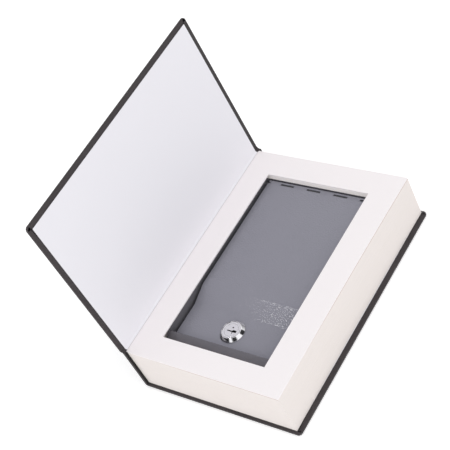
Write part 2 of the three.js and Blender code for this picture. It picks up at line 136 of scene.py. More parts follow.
white = (1, 1, 1, 1)
sky = Finish(bpy.data.worlds.new("studio"))
bpy.context.scene.world = sky.owner
sky_light = (0.95, 0.95, 0.955, 1)
tent_white = (1.2, 1.2, 1.22, 1)
tent_dark = (0.03, 0.03, 0.032, 1)
dark_below, white_above = 0.1, 0.5
tent_openings = (
    (-56, 47, 12, 20),
    (-133, 24, 27, 33),
    (40, 35, 15, 20),
    (-170, 60, 17, 26),
    (149, 55, 9, 16),
)
looked_at = sky.node("TexCoord", {}, "Generated")


def tent_opening(azimuth, elevation, inner, outer):
    """1 within a cone of directions, falling to 0 from its inner to its outer angle in degrees."""
    level, turn = math.cos(math.radians(elevation)), math.radians(azimuth)
    centre = (level * math.cos(turn), level * math.sin(turn), math.sin(math.radians(elevation)))
    near = sky.node("VectorMath", {0: looked_at, 1: centre}, "Value", operation="DOT_PRODUCT")
    limits = {"From Min": math.cos(math.radians(outer)), "From Max": math.cos(math.radians(inner))}
    return sky.node("MapRange", {"Value": near, **limits})


height = sky.node("SeparateXYZ", {0: looked_at}, "Z")
dark = sky.node("MapRange", {"Value": height, "From Min": white_above, "From Max": dark_below})
for opening in tent_openings:
    dark = sky.math("MAXIMUM", dark, tent_opening(*opening))
tent = sky.mix(dark, tent_white, tent_dark)
camera_ray = sky.node("LightPath", {}, "Is Camera Ray")
glossy_ray = sky.node("LightPath", {}, "Is Glossy Ray")
sky_colour = sky.mix(camera_ray, sky.mix(glossy_ray, sky_light, tent), white)
sky.feed(sky.tree.nodes["Background"].inputs["Color"], sky_colour)

table_width = 8
table_drop = 0.05 * mm
table_colour = (0.93, 0.93, 0.93, 1)
table_lift = 0.28
bpy.ops.mesh.primitive_plane_add(size=table_width, location=(0, 0, -table_drop))
table = bpy.context.object
table.name = "table"
table_finish = Finish(bpy.data.materials.new("table_top"))
table_shader = table_finish.tree.nodes["Principled BSDF"]
table_shader.inputs["Base Color"].default_value = table_colour
table_shader.inputs["Roughness"].default_value = 1
table_shader.inputs["Specular IOR Level"].default_value = 0
seen = (table_finish.node("LightPath", {}, "Is Camera Ray")
        + table_finish.node("LightPath", {}, "Is Glossy Ray"))
glow = table_finish.node("Emission", {"Color": white, "Strength": seen * table_lift})
both = table_finish.node("AddShader", {0: Wire(table_finish, table_shader.outputs[0]), 1: glow})
table_finish.feed(table_finish.tree.nodes["Material Output"].inputs["Surface"], both)
table.data.materials.append(table_finish.owner)


def softbox(name, place, aim, size, watts):
    """A rectangular lamp that faces the point it is aimed at."""
    bpy.ops.object.light_add(type="AREA", location=place)
    lamp = bpy.context.object
    lamp.name = name
    lamp.rotation_euler = (Vector(aim) - Vector(place)).to_track_quat("-Z", "Y").to_euler()
    lamp.data.shape = "RECTANGLE"
    lamp.data.size, lamp.data.size_y = size
    lamp.data.energy = watts
    return lamp


front = softbox("front", (1.3, -1.5, 0.7), (0, 0, 0.05), (1.8, 1.4), 6.5)
front.visible_glossy = False
glint = softbox("glint", (-0.792, 0.017, 1.527), (0.03, -0.04, 0.04), (0.15, 0.25), 2.5)
glint.visible_diffuse = False
glint.visible_camera = False


# Case: one piece of dark book cloth, glued round the back board and up the spine board. Its edges
# are folded in over the boards, and its fore corners and the spine's lower edge are rounded by the
# fold. Beside the leaves it is painted near black, as painted shade in the hollow there.
def box(name):
    """The lowest and highest corners of a node."""
    low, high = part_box(name)
    return Vector(low), Vector(high)


def block(name, low, high):
    """A plain block between two corners, ready to be shaped."""
    bpy.ops.object.select_all(action="DESELECT")
    middle = (Vector(low) + Vector(high)) / 2
    bpy.ops.mesh.primitive_cube_add(size=1, location=middle, scale=Vector(high) - Vector(low))
    bpy.ops.object.transform_apply(location=True, rotation=True, scale=True)
    bpy.context.object.name = name
    return bpy.context.object


def start_work(piece):
    """Goes into edit mode on one piece, with nothing selected."""
    bpy.ops.object.select_all(action="DESELECT")
    bpy.context.view_layer.objects.active = piece
    piece.select_set(True)
    bpy.ops.object.mode_set(mode="EDIT")
    bpy.ops.mesh.select_all(action="DESELECT")


def end_work():
    bpy.ops.object.mode_set(mode="OBJECT")


def pick(kind, test):
    """Selects only the verts, edges or faces that pass a test on their middle and themselves."""
    bpy.ops.mesh.select_all(action="DESELECT")
    bpy.ops.mesh.select_mode(type={"verts": "VERT", "edges": "EDGE", "faces": "FACE"}[kind])
    mesh = bpy.context.edit_object.data
    shape = bmesh.from_edit_mesh(mesh)
    for part in getattr(shape, kind):
        corners = [part] if kind == "verts" else part.verts
        middle = sum((corner.co for corner in corners), Vector()) / len(corners)
        if test(middle, part):
            part.select_set(True)
    bmesh.update_edit_mesh(mesh)


def cut(place, across):
    """Cuts new edges right round the piece in a plane."""
    bpy.ops.mesh.select_all(action="SELECT")
    bpy.ops.mesh.bisect(plane_co=place, plane_no=across)
    bpy.ops.mesh.select_all(action="DESELECT")


near_enough = 0.01 * mm
sharp_fold = math.radians(40)


def same(one, other):
    return abs(one - other) < near_enough


def is_sharp(edge):
    return edge.is_manifold and edge.calc_face_angle() > sharp_fold


def modify(piece, kind, **settings):
    """Adds a modifier, sets it and applies it."""
    bpy.ops.object.select_all(action="DESELECT")
    bpy.context.view_layer.objects.active = piece
    piece.select_set(True)
    modifier = piece.modifiers.new(kind.lower(), kind)
    for name, value in settings.items():
        setattr(modifier, name, value)
    bpy.ops.object.modifier_apply(modifier=modifier.name)


def smooth(piece, degrees=35):
    """Shades a piece smoothly between its sharp edges, with its flat faces kept flat."""
    bpy.ops.object.select_all(action="DESELECT")
    bpy.context.view_layer.objects.active = piece
    piece.select_set(True)
    bpy.ops.object.shade_smooth_by_angle(angle=math.radians(degrees))
    modify(piece, "WEIGHTED_NORMAL", keep_sharp=True)


def dress(piece, material):
    piece.data.materials.clear()
    piece.data.materials.append(material)


def shader_of(finish):
    return finish.tree.nodes["Principled BSDF"].inputs


def grain(finish, size, detail=2.0, stretch=(1, 1, 1)):
    """Noise whose lumps are about as large as the size, in the object's own place."""
    place = finish.node("TexCoord", {}, "Object")
    scaled = finish.node("Mapping", {"Vector": place, "Scale": stretch})
    return finish.node("TexNoise", {"Vector": scaled, "Scale": 0.5 / size, "Detail": detail}, "Fac")


def raise_surface(finish, height, depth):
    """Lets a height from 0 to 1 stand up by the depth."""
    bump = finish.node("Bump", {"Height": height, "Distance": depth, "Strength": 1.0}, "Normal")
    finish.feed(shader_of(finish)["Normal"], bump)


def retoned(material, name, dark, light):
    """A copy of a material with other colours at the two ends of its tone."""
    copy = material.copy()
    copy.name = name
    for node in copy.node_tree.nodes:
        if node.type == "MIX":
            node.inputs[6].default_value = dark
            node.inputs[7].default_value = light
    return copy


cloth_layer = 0.3 * mm
cloth_corner = 3.5 * mm
cloth_edge = 0.75 * mm
turned_in = 15 * mm
back_round = 2.2 * mm
lining_lap = 0.15 * mm
cloth_colour = (0.04, 0.034, 0.036, 1)
cloth_worn = (0.078, 0.067, 0.07, 1)
cloth_shade_colour = (0.009, 0.007, 0.0075, 1)
cloth_shade_worn = (0.016, 0.013, 0.0135, 1)
thread_pitch = 0.42 * mm
thread_relief = 0.07 * mm

book_cloth = Finish(bpy.data.materials.new("book_cloth"))
place = book_cloth.node("TexCoord", {}, "Object")
turns = 2 * math.pi / thread_pitch
threads = []
for axis in ("X", "Y", "Z"):
    along = book_cloth.node("SeparateXYZ", {0: place}, axis)
    threads.append(book_cloth.math("SINE", along * turns))
weave = threads[0] * threads[1] + threads[1] * threads[2] + threads[2] * threads[0]
slub = grain(book_cloth, 1.2 * mm, 4.0)
wear = grain(book_cloth, 18 * mm, 3.0)
worn_share = weave * 0.22 + slub * 0.35 + wear * 0.4 + 0.05
cloth_tone = book_cloth.mix(worn_share, cloth_colour, cloth_worn)
book_cloth.feed(shader_of(book_cloth)["Base Color"], cloth_tone)
book_cloth.feed(shader_of(book_cloth)["Roughness"], 0.9 - wear * 0.16)
shader_of(book_cloth)["Specular IOR Level"].default_value = 0.3
shader_of(book_cloth)["Sheen Weight"].default_value = 0.06
raise_surface(book_cloth, weave * 0.35 + slub * 0.5, thread_relief)

back_low, back_high = box("back_cover_cloth")
spine_low, spine_high = box("spine_cloth")
lining_low, lining_high = box("spine_lining")
spine_inside = lining_low.x + lining_lap
case = block("case_cloth", (spine_low.x, back_low.y, 0), back_high)
start_work(case)
cut((spine_inside, 0, 0), (1, 0, 0))
pick("faces", lambda at, face: face.normal.z > 0.5 and at.x < spine_inside)
rise = (0, 0, spine_high.z - back_high.z)
bpy.ops.mesh.extrude_region_move(TRANSFORM_OT_translate={"value": rise})
pick("edges", lambda at, edge: same(at.x, back_high.x) and same(abs(at.y), back_high.y))
bpy.ops.mesh.bevel(offset=cloth_corner, segments=8, affect="EDGES")
pick("edges", lambda at, edge: same(at.x, spine_low.x) and same(at.z, 0) and same(at.y, 0))
bpy.ops.mesh.bevel(offset=back_round, segments=6, affect="EDGES")
pick("edges", lambda at, edge: is_sharp(edge) and not same(at.z, spine_high.z)
     and not (same(at.x, spine_inside) and at.z > back_high.z - near_enough))
bpy.ops.mesh.bevel(offset=cloth_edge, segments=4, affect="EDGES")
pick("faces", lambda at, face: face.normal.z > 0.9 and same(at.z, back_high.z))
bpy.ops.mesh.inset(thickness=turned_in, use_even_offset=True)
bpy.ops.mesh.delete(type="FACE")
for end in (-1, 1):
    cut((0, end * lining_high.y, 0), (0, 1, 0))


def is_open_spine(at, face):
    """The spine's top and inside, which are closed with cloth only past the ends of the leaves."""
    on_top = face.normal.z > 0.9 and same(at.z, spine_high.z)
    inside = face.normal.x > 0.9 and same(at.x, spine_inside)
    return abs(at.y) < lining_high.y and (on_top or inside)


pick("faces", is_open_spine)
bpy.ops.mesh.delete(type="FACE")
end_work()
modify(case, "SOLIDIFY", thickness=cloth_layer, offset=-1)
smooth(case)
dress(case, book_cloth.owner)
# The faces beside the leaves get a near-black copy of the cloth: painted shade.
case.data.materials.append(retoned(book_cloth.owner, "glued_cloth", cloth_shade_colour, cloth_shade_worn))
for face in case.data.polygons:
    beside_leaves = face.center.x > spine_inside - cloth_edge and face.center.z > back_high.z
    face.material_index = int(beside_leaves and face.normal.x > 0.3)
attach(case, "base")
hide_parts("back_cover_cloth", "spine_cloth")


# Boards and lining: dense grey binder's board inside the covers and the spine, and a strip of open
# cotton mull that is glued over the block's back. They show only at the ends of the spine.
def flecked(name, light, dark, fleck, roughness, depth):
    """A dull material with soft flecks, such as board, mull or unplated zinc."""
    finish = Finish(bpy.data.materials.new(name))
    spots = grain(finish, fleck, 5.0)
    finish.feed(shader_of(finish)["Base Color"], finish.mix(spots, dark, light))
    finish.feed(shader_of(finish)["Roughness"], spots * 0.1 + (roughness - 0.05))
    raise_surface(finish, spots, depth)
    return finish.owner


board_light = (0.3, 0.28, 0.25, 1)
board_dark = (0.2, 0.18, 0.16, 1)
# The mull's tones are partly its own colour and partly painted light, paler where the block's back
# catches the light.
mull_pale_painted_light = (0.84, 0.82, 0.77, 1)
mull_dark_painted_light = (0.76, 0.73, 0.67, 1)
greyboard = flecked("greyboard", board_light, board_dark, 0.8 * mm, 0.92, 0.05 * mm)
mull = flecked("mull", mull_pale_painted_light, mull_dark_painted_light, 0.6 * mm, 0.95, 0.1 * mm)
for name in ("back_cover_board", "front_cover_board"):
    dress(frame["nodes"][name], greyboard)
strip_drop = 0.2 * mm
strip_round = back_round - 0.5 * mm
strip_low, strip_high = box("spine_board")
strip_high.z -= strip_drop
spine_strip = block("spine_strip", strip_low, strip_high)
start_work(spine_strip)
pick("edges", lambda at, edge: same(at.x, strip_low.x) and same(at.z, strip_low.z))
bpy.ops.mesh.bevel(offset=strip_round, segments=6, affect="EDGES")
end_work()
dress(spine_strip, greyboard)
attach(spine_strip, "base")
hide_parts("spine_board")
dress(frame["nodes"]["spine_lining"], mull)


# Leaves: uncoated cream-white paper, glued into one block and cut out round the steel box. They are
# laid up in small bundles, whose edges stand out by a few hundredths of a millimetre. Those next to
# the top sheet reach over the box's rim at the head, and along their outer edges a darker brownish
# band runs just below the top.
hollow_depth = 0.8 * mm
bow_steps = 18
leaf_bundle = 0.36 * mm
bundle_rows = (0, 0.2, 0.8, 1)
leaf_slip = 0.05 * mm
groove_depth = 0.08 * mm
seam_start = 0.75 * mm
seam_full = 0.55 * mm
paper_edge = (0.88, 0.83, 0.805, 1)
paper_shade = (0.84, 0.785, 0.755, 1)
seam_tone = (0.66, 0.56, 0.51, 1)
paper_tint = (0.8, 0.78, 0.76, 1)
# Paler tones for the cut faces inside the opening: painted light against the shade of the recess.
cut_painted_light = (0.97, 0.935, 0.915, 1)
cut_painted_light_streak = (0.94, 0.9, 0.875, 1)


def frame_block(name, low, high, hole=None):
    """A block with the book's hollow fore-edge, and with an opening between the hole's corners."""
    piece = block(name, low, high)
    start_work(piece)
    for step in range(1, bow_steps):
        cut((0, low.y + (high.y - low.y) * step / bow_steps, 0), (0, 1, 0))
    if hole:
        hole_low, hole_high = hole
        for corner in hole:
            cut((corner.x, 0, 0), (1, 0, 0))
            cut((0, corner.y, 0), (0, 1, 0))
        pick("faces", lambda at, face: abs(face.normal.z) > 0.5 and hole_low.x < at.x < hole_high.x
             and hole_low.y < at.y < hole_high.y)
        bpy.ops.mesh.delete(type="FACE")
        pick("edges", lambda at, edge: edge.is_boundary)
        bpy.ops.mesh.bridge_edge_loops()
    shape = bmesh.from_edit_mesh(piece.data)
    for corner in shape.verts:
        if same(corner.co.x, high.x):
            corner.co.x -= hollow_depth * (1 - (corner.co.y / high.y) ** 2)
    bmesh.update_edit_mesh(piece.data)
    end_work()
    return piece


def leaf_stack(name, low, high, seed, hole=None):
    """Bundles of leaves, laid on each other without quite lining up."""
    count = round((high.z - low.z) / leaf_bundle)
    step = (high.z - low.z) / count
    last_row = len(bundle_rows) - 1
    piece = frame_block(name, low, Vector((high.x, high.y, low.z + step)), hole)
    start_work(piece)
    pick("faces", lambda at, face: abs(face.normal.z) > 0.5)
    bpy.ops.mesh.delete(type="FACE")
    pick("edges", lambda at, edge: abs(edge.verts[0].co.z - edge.verts[1].co.z) > step / 2)
    bpy.ops.mesh.subdivide(number_cuts=last_row - 1)
    end_work()
    for corner in piece.data.vertices:
        row = round((corner.co.z - low.z) / step * last_row)
        corner.co.z = low.z + step * bundle_rows[row]
    modify(piece, "ARRAY", count=count, use_relative_offset=False, use_constant_offset=True,
           constant_offset_displace=(0, 0, step), use_merge_vertices=True,
           merge_threshold=near_enough)
    chance = random.Random(seed)
    drift = [Vector((chance.random(), chance.random(), 0)) * leaf_slip for row in range(count)]
    fore_side = high.x - hollow_depth * 1.1
    for corner in piece.data.vertices:
        place = corner.co
        bundle = (place.z - low.z) / step
        in_groove = abs(bundle - round(bundle)) < bundle_rows[1] / 2
        inward = Vector((0, 0, 0))
        inward.x = -1 if place.x > fore_side else 1 if same(place.x, low.x) else 0
        inward.y = -1 if same(place.y, high.y) else 1 if same(place.y, low.y) else 0
        if hole and not inward.length:
            inward.x = -1 if same(place.x, hole[0].x) else 1 if same(place.x, hole[1].x) else 0
            inward.y = -1 if same(place.y, hole[0].y) else 1 if same(place.y, hole[1].y) else 0
        if in_groove:
            corner.co += inward * groove_depth
        else:
            slip = drift[min(int(bundle), count - 1)]
            corner.co += Vector((inward.x * slip.x, inward.y * slip.y, 0))
    start_work(piece)
    for level in (low.z, high.z):
        pick("edges", lambda at, edge: edge.is_boundary and same(at.z, level))
        bpy.ops.mesh.fill()
    bpy.ops.mesh.select_all(action="SELECT")
    bpy.ops.mesh.normals_make_consistent(inside=False)
    end_work()
    return piece


def paper_finish(name, flat_tone, edge_tone, fibre, seam=None):
    """Paper in streaks of two tones, as the edges of leaves show, or of one for a flat sheet.

    A seam is a darker brownish band just below a height. It comes in along an axis, between two
    places.
    """
    finish = Finish(bpy.data.materials.new(name))
    streaks = grain(finish, 0.9 * mm, 3.0, (0.12, 0.12, 6))
    clouds = grain(finish, 30 * mm, 2.0)
    fibres = grain(finish, fibre, 5.0)
    shade = finish.mix(streaks, edge_tone, flat_tone)
    tint = finish.mix(fibres * 0.05 + clouds * 0.05, white, paper_tint)
    tone = finish.node("Mix", {"Factor": 1.0, 6: shade, 7: tint}, 2, data_type="RGBA",
                       blend_type="MULTIPLY")
    if seam:
        top, axis, start, end = seam
        place = finish.node("TexCoord", {}, "Object")
        level = finish.node("SeparateXYZ", {0: place}, "Z")
        along = finish.node("SeparateXYZ", {0: place}, axis)
        near_top = {"From Min": top - seam_start, "From Max": top - seam_full}
        seam_band = finish.node("MapRange", {"Value": level, **near_top})
        seam_band = seam_band * finish.node("MapRange", {"Value": along, "From Min": start, "From Max": end})
        tone = finish.mix(seam_band, tone, seam_tone)
    finish.feed(shader_of(finish)["Base Color"], tone)
    finish.feed(shader_of(finish)["Roughness"], fibres * 0.1 + 0.8)
    shader_of(finish)["Specular IOR Level"].default_value = 0.25
    raise_surface(finish, fibres, 0.02 * mm)
    return finish.owner


block_low, block_high = box("page_block")
leaf_finish = (paper_edge, paper_shade, 0.4 * mm)
leaf_paper = paper_finish("leaf_paper", *leaf_finish)
foot_paper = paper_finish("foot_paper", *leaf_finish, (block_high.z, "X", -60 * mm, -10 * mm))
fore_paper = paper_finish("fore_paper", *leaf_finish, (block_high.z, "Y", -70 * mm, -20 * mm))
painted_light_cut = paper_finish("clean_cut_paper", cut_painted_light, cut_painted_light_streak, 0.4 * mm)
opening_low = Vector((-54.6, -93.7, 0)) * mm
opening_high = Vector((51.3, 92.7, 0)) * mm
cut_low = Vector((-61.4, -94.0, 0)) * mm
cut_high = Vector((51.6, 94.35, 0)) * mm
over_rim = 43.7 * mm
pages = leaf_stack("cut_leaves", block_low, Vector((block_high.x, block_high.y, over_rim)), 4,
                   (cut_low, cut_high))
dress(pages, leaf_paper)
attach(pages, "base")
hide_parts("page_block")
rim_leaves = leaf_stack("rim_leaves", Vector((block_low.x, block_low.y, over_rim)), block_high, 5,
                        (cut_low, Vector((cut_high.x, opening_high.y, 0))))
dress(rim_leaves, foot_paper)
rim_leaves.data.materials.append(painted_light_cut)
rim_leaves.data.materials.append(fore_paper)
fore_skin = 2 * mm
foot_skin = 1 * mm
# Faces inside the opening take the paler paper, which is painted light.
for face in rim_leaves.data.polygons:
    at = face.center
    inside = abs(at.x) < block_high.x - fore_skin and abs(at.y) < block_high.y - foot_skin
    face.material_index = 1 if inside else 0 if at.y < foot_skin - block_high.y else 2
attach(rim_leaves, "base")
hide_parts("page_block")

under_low, under_high = box("bottom_leaves")
whole_leaves = leaf_stack("whole_leaves", under_low, under_high, 9)
dress(whole_leaves, leaf_paper)
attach(whole_leaves, "base")
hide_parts("bottom_leaves")


# Top sheet: stiff white card on top of the leaves. Its opening reaches a little over the rim of the
# box, and its cut edges are eased.
card_edge = 0.22 * mm
paper_white = (0.948, 0.907, 0.914, 1)
sheet_paper = paper_finish("sheet_paper", paper_white, paper_white, 0.5 * mm)
sheet_low, sheet_high = box("top_sheet")
card = frame_block("cover_sheet", sheet_low, sheet_high, (opening_low, opening_high))
start_work(card)
pick("edges", lambda at, edge: is_sharp(edge))
bpy.ops.mesh.bevel(offset=card_edge, segments=3, affect="EDGES")
end_work()
smooth(card)
dress(card, sheet_paper)
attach(card, "base")
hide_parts("top_sheet")


# Front cover: binder's board in the same dark cloth, which is turned in over the board's edges. A
# bluish white endpaper is glued inside it. It is made shut and then turned up on its hinge.
def joint_named(name):
    """A joint's place, axis and range, as the record gives them."""
    return next(joint for joint in frame["joints"] if joint["name"] == name)


cover_joint = joint_named("cover_hinge")
pivot = Vector(cover_joint["pos_m"])
open_turn = Matrix.Rotation(math.radians(cover_joint["range_deg"][0]), 4, "Y")
stand_up = Matrix.Translation(pivot) @ open_turn @ Matrix.Translation(-pivot)
board_start = 1.5 * mm
paste_down = 0.35 * mm
cover_thick = 2.7 * mm

cover_low = Vector((pivot.x + board_start, back_low.y, pivot.z + paste_down))
cover_high = Vector((back_high.x, back_high.y, pivot.z + cover_thick))
cover = block("front_cloth", cover_low, cover_high)
start_work(cover)
pick("edges", lambda at, edge: same(at.x, cover_high.x) and same(abs(at.y), cover_high.y))
bpy.ops.mesh.bevel(offset=cloth_corner, segments=8, affect="EDGES")
pick("edges", lambda at, edge: is_sharp(edge) and not same(at.x, cover_low.x))
bpy.ops.mesh.bevel(offset=cloth_edge, segments=4, affect="EDGES")
pick("faces", lambda at, face: face.normal.z < -0.9 and same(at.z, cover_low.z))
bpy.ops.mesh.inset(thickness=turned_in, use_even_offset=True)
bpy.ops.mesh.delete(type="FACE")
pick("faces", lambda at, face: face.normal.x < -0.9 and same(at.x, cover_low.x))
bpy.ops.mesh.delete(type="FACE")
end_work()
modify(cover, "SOLIDIFY", thickness=cloth_layer, offset=-1)
cover.data.transform(stand_up)
smooth(cover)
dress(cover, book_cloth.owner)
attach(cover, "front_cover")
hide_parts("front_cover_cloth")

endpaper_tone = (0.86, 0.85, 0.895, 1)
endpaper = paper_finish("endpaper", endpaper_tone, endpaper_tone, 0.7 * mm)
for name in ("front_endpaper", "back_endpaper"):
    dress(frame["nodes"][name], endpaper)


# Hinge of the front cover: outside, the case's cloth runs on from the spine to the cover as one
# soft bead with rounded ends. Inside, the endpaper is creased on the top sheet and folds up on to
# the cover.
def bent_strip(name, path, low_y, high_y, thickness, up):
    """A strip that follows a path of (x, z) points, with its good side towards up."""
    bpy.ops.object.select_all(action="DESELECT")
    bpy.ops.mesh.primitive_plane_add(size=1)
    strip = bpy.context.object
    strip.name = name
    start_work(strip)
    shape = bmesh.from_edit_mesh(strip.data)
    for corner in shape.verts:
        x, z = path[0] if corner.co.x < 0 else path[1]
        corner.co = (x, low_y if corner.co.y < 0 else high_y, z)
    bmesh.update_edit_mesh(strip.data)
    for before, after in zip(path[1:], path[2:]):
        pick("edges", lambda at, edge: same(at.x, before[0]) and same(at.z, before[1])
             and same(abs(at.y), abs(low_y + high_y) / 2))
        step = (after[0] - before[0], 0, after[1] - before[1])
        bpy.ops.mesh.extrude_edges_move(TRANSFORM_OT_translate={"value": step})
    bpy.ops.mesh.select_all(action="SELECT")
    bpy.ops.mesh.normals_make_consistent(inside=False)
    shape = bmesh.from_edit_mesh(strip.data)
    facing_up = sum(face.normal.dot(Vector(up)) * face.calc_area() for face in shape.faces)
    if facing_up < 0:
        bpy.ops.mesh.flip_normals()
    end_work()
    modify(strip, "SOLIDIFY", thickness=thickness, offset=-1)
    smooth(strip, 60)
    return strip


def on_cover(along, out):
    """A point (x, z) of the standing cover, along it from the hinge and out from its inside."""
    place = stand_up @ Vector((pivot.x + along, 0, pivot.z + out))
    return place.x, place.z


def curve(first, pull_first, pull_last, last, count):
    """Points on one smooth bend between two places."""
    points = []
    for step in range(count + 1):
        t = step / count
        shares = ((1 - t) ** 3, 3 * t * (1 - t) ** 2, 3 * t * t * (1 - t), t ** 3)
        corners = (first, pull_first, pull_last, last)
        points.append(tuple(sum(s * c[axis] for s, c in zip(shares, corners)) for axis in (0, 1)))
    return points


fold_lift = 0.03 * mm
crease = (-79.7 * mm, sheet_high.z - 0.35 * mm)
fold_level = sheet_high.z + fold_lift
fold_foot = (crease[0] - 0.35 * mm, fold_level + 0.05 * mm)
fold_rise = on_cover(0.9 * mm, -fold_lift)

spine_top = (spine_low.x, spine_high.z)
cloth_end = on_cover(board_start, cover_thick)
inside_end = on_cover(board_start, paste_down)
joint_foot = (fold_foot[0], spine_high.z - 0.1 * mm)
joint_outside = curve(spine_top, (spine_top[0] - 0.8 * mm, spine_top[1] + 0.15 * mm),
                      on_cover(0.2 * mm, cover_thick), cloth_end, 10)
end_edges = [((x0 + x1) / 2, (z0 + z1) / 2)
             for (x0, z0), (x1, z1) in zip(joint_outside, joint_outside[1:])]
joint_outline = joint_outside + curve(inside_end, (pivot.x - 0.25 * mm, pivot.z - 0.1 * mm),
                                      (pivot.x + 0.5 * mm, pivot.z - 0.5 * mm), joint_foot, 10)
bpy.ops.object.select_all(action="DESELECT")
bpy.ops.mesh.primitive_circle_add(vertices=len(joint_outline), radius=1, fill_type="NGON")
joint_cloth = bpy.context.object
joint_cloth.name = "joint_cloth"
for corner, (x, z) in zip(joint_cloth.data.vertices, joint_outline):
    corner.co = (x, -back_high.y, z)
start_work(joint_cloth)
bpy.ops.mesh.select_all(action="SELECT")
bpy.ops.mesh.extrude_region_move(TRANSFORM_OT_translate={"value": (0, 2 * back_high.y, 0)})
pick("edges", lambda at, edge: any(same(at.x, x) and same(at.z, z) for x, z in end_edges)
     and same(abs(at.y), back_high.y))
bpy.ops.mesh.bevel(offset=cloth_edge, segments=4, affect="EDGES", clamp_overlap=False)
bpy.ops.mesh.select_all(action="SELECT")
bpy.ops.mesh.normals_make_consistent(inside=False)
end_work()
smooth(joint_cloth, 50)
dress(joint_cloth, book_cloth.owner)
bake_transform(joint_cloth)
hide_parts("hinge_cloth")

fold_path = [(sheet_low.x + 1 * mm, fold_level), (crease[0] + 0.3 * mm, fold_level), crease]
fold_path += curve(fold_foot, (pivot.x + 0.6 * mm, pivot.z - 0.1 * mm),
                   on_cover(-0.1 * mm, -0.1 * mm), fold_rise, 8)
fold_path += [on_cover(2 * mm, -fold_lift), on_cover(4 * mm, -fold_lift)]
fold_thick = 0.2 * mm
hinge_fold = bent_strip("hinge_fold", fold_path, under_low.y, under_high.y, fold_thick, (1, 0, 1))
paper_end = box("front_endpaper")[1].y
past_crease = 0.1 * mm
for corner in hinge_fold.data.vertices:
    if corner.co.x < crease[0] - past_crease:
        corner.co.y = math.copysign(paper_end, corner.co.y)
dress(hinge_fold, endpaper)
hinge_fold.data.materials.append(sheet_paper)
# A darker grey strip along the crease is painted shade in the fold.
crease_shade_tone = (0.7, 0.67, 0.68, 1)
crease_half = 0.34 * mm
hinge_fold.data.materials.append(paper_finish("creased_paper", crease_shade_tone, crease_shade_tone, 0.7 * mm))
for face in hinge_fold.data.polygons:
    in_crease = abs(face.center.x - crease[0]) < crease_half and face.center.z > crease[1]
    face.material_index = 2 if in_crease else int(face.center.x > crease[0])
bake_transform(hinge_fold)
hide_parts("hinge_endpaper")


# Steel box: one folded sheet of steel with a sloped shoulder at its front, powder coated in a satin
# grey. The coat rounds its cut edges and dries with a light orange-peel surface. On the box it is
# painted a darker grey than on the lid, as painted shade in the recess.
weld_gap = 0.002 * mm
flat_within = math.radians(1)
edge_over = math.radians(38)


def eased_copy(node, name, ease):
    """A copy of a node with its flat faces joined up and its edges rounded."""
    source = frame["nodes"][node]
    piece = bpy.data.objects.new(name, source.data.copy())
    bpy.context.scene.collection.objects.link(piece)
    start_work(piece)
    bpy.ops.mesh.select_all(action="SELECT")
    bpy.ops.mesh.remove_doubles(threshold=weld_gap)
    bpy.ops.mesh.dissolve_limited(angle_limit=flat_within)
    end_work()
    modify(piece, "BEVEL", width=ease, segments=3, limit_method="ANGLE", angle_limit=edge_over)
    smooth(piece)
    return piece


coat_colour = (0.268, 0.266, 0.308, 1)
coat_dark = (0.256, 0.254, 0.294, 1)
box_shade_colour = (0.19, 0.184, 0.206, 1)
box_shade_dark = (0.178, 0.173, 0.194, 1)
peel_depth = 0.24 * mm
coat_ease = 0.2 * mm
powder_coat = Finish(bpy.data.materials.new("powder_coat"))
peel = grain(powder_coat, 0.68 * mm, 1.2)
speck = grain(powder_coat, 0.25 * mm, 2.0)
patch = grain(powder_coat, 40 * mm, 1.0)
coat_tone = powder_coat.mix(patch, coat_dark, coat_colour)
powder_coat.feed(shader_of(powder_coat)["Base Color"], coat_tone)
powder_coat.feed(shader_of(powder_coat)["Roughness"], speck * 0.05 + 0.06)
shader_of(powder_coat)["Specular IOR Level"].default_value = 0.35
raise_surface(powder_coat, peel, peel_depth)

folded_box = eased_copy("tray", "folded_box", coat_ease)
# The box's coat is a darker copy of the lid's coat: painted shade.
dress(folded_box, retoned(powder_coat.owner, "box_coat", box_shade_dark, box_shade_colour))
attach(folded_box, "base")
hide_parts("tray")


# Lid: the same coated steel, stepped down to the lock shelf at its front and rolled over its hinge
# at the back. The bends of its step are eased, and three tabs of the hinge leaf are staked into its
# slots.
bend_ease = 0.8 * mm
bend_angle = math.radians(12)
bend_length = 50 * mm
mid_lid = 20 * mm


def is_step_bend(at, edge):
    """A long edge right across the lid at its front, where the sheet is bent and not cut."""
    across = abs(at.x) < mid_lid and at.y < 0 and edge.calc_length() > bend_length
    return across and edge.is_manifold and bend_angle < edge.calc_face_angle() <= sharp_fold


stepped_lid = eased_copy("lid", "stepped_lid", coat_ease)
start_work(stepped_lid)
pick("edges", is_step_bend)
bpy.ops.mesh.bevel(offset=bend_ease, segments=4, affect="EDGES")
end_work()
smooth(stepped_lid)
roll_centre = Vector(joint_named("lid_hinge")["pos_m"])
roll = 3.4 * mm
crisp_roll = 3.86 * mm
roll_skin = 0.3 * mm
for corner in stepped_lid.data.vertices:
    back, up = corner.co.y - roll_centre.y, corner.co.z - roll_centre.z
    reach = math.hypot(back, up)
    if back > near_enough and up > near_enough and abs(reach - roll) < roll_skin:
        wider = min(reach * reach / max(back, up), crisp_roll + reach - roll) / reach
        corner.co.y = roll_centre.y + back * wider
        corner.co.z = roll_centre.z + up * wider
dress(stepped_lid, powder_coat.owner)
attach(stepped_lid, "lid")
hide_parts("lid")


